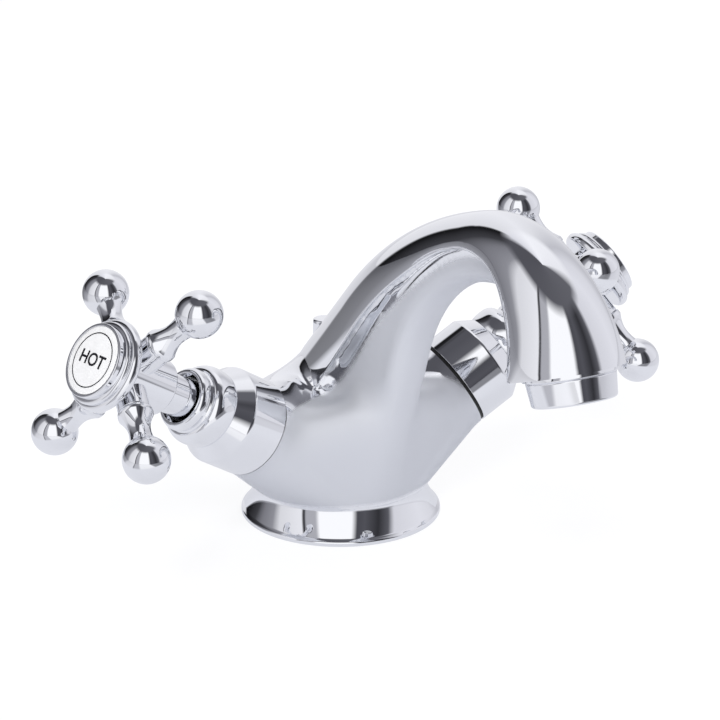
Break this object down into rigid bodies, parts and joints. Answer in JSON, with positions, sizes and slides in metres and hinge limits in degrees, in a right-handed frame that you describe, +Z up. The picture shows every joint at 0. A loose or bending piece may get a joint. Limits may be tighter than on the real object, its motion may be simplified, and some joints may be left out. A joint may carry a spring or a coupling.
{
  "type": "monobloc basin mixer tap",
  "caption": "Single-hole basin mixer with an arched open-backed spout, two upturned arms with cross handles and ceramic index discs, and a pop-up lift rod.",
  "frame": {"origin": "centre of the foot's underside, on the basin's top face", "axes": "+Z up, spout towards -Y, hot handle towards -X and cold handle towards +X"},
  "size_m": [0.18, 0.1459, 0.1053],
  "materials": {
    "chrome": "polished chrome plate on brass",
    "brass": "turned brass, unplated",
    "black_rubber": "moulded black rubber",
    "white_plastic": "moulded white plastic",
    "alumina": "lapped alumina ceramic",
    "white_glaze": "white glazed porcelain, glossy",
    "steel": "plain machined stainless steel",
    "steel_spring": "spring steel"
  },
  "bodies": {
    "mixer": {"body": "chrome", "foot_seal": "black_rubber", "aerator_housing": "chrome", "aerator_washer": "black_rubber", "aerator_insert": "white_plastic", "aerator_mesh": "white_plastic", "hot_shroud": "chrome", "hot_shroud_seal": "black_rubber", "hot_valve_body": "brass", "hot_seat_washer": "black_rubber", "hot_fixed_disc": "alumina", "cold_shroud": "chrome", "cold_shroud_seal": "black_rubber", "cold_valve_body": "brass", "cold_seat_washer": "black_rubber", "cold_fixed_disc": "alumina"},
    "hot_handle": {"hot_moving_disc": "alumina", "hot_spindle": "brass", "hot_spindle_seal": "black_rubber", "hot_spindle_clip": "steel_spring", "hot_hub": "chrome", "hot_handle_screw": "steel", "hot_arm_1": "chrome", "hot_arm_2": "chrome", "hot_arm_3": "chrome", "hot_arm_4": "chrome", "hot_index_cap": "chrome", "hot_index_disc": "white_glaze"},
    "cold_handle": {"cold_moving_disc": "alumina", "cold_spindle": "brass", "cold_spindle_seal": "black_rubber", "cold_spindle_clip": "steel_spring", "cold_hub": "chrome", "cold_handle_screw": "steel", "cold_arm_1": "chrome", "cold_arm_2": "chrome", "cold_arm_3": "chrome", "cold_arm_4": "chrome", "cold_index_cap": "chrome", "cold_index_disc": "white_glaze"},
    "lift": {"lift_rod": "chrome", "lift_knob": "chrome"}
  },
  "joints": [
    {"name": "hot_turn", "type": "hinge", "parent": "mixer", "child": "hot_handle", "pos_m": [-0.06501, -0.01114, 0.05303], "axis": [-0.8443, -0.1187, 0.5225], "range_deg": [0, 90]},
    {"name": "cold_turn", "type": "hinge", "parent": "mixer", "child": "cold_handle", "pos_m": [0.06501, -0.01114, 0.05303], "axis": [-0.8443, 0.1187, -0.5225], "range_deg": [0, 90]},
    {"name": "lift_slide", "type": "slide", "parent": "mixer", "child": "lift", "axis": [0, 0, 1], "range_m": [0, 0.02]}
  ]
}
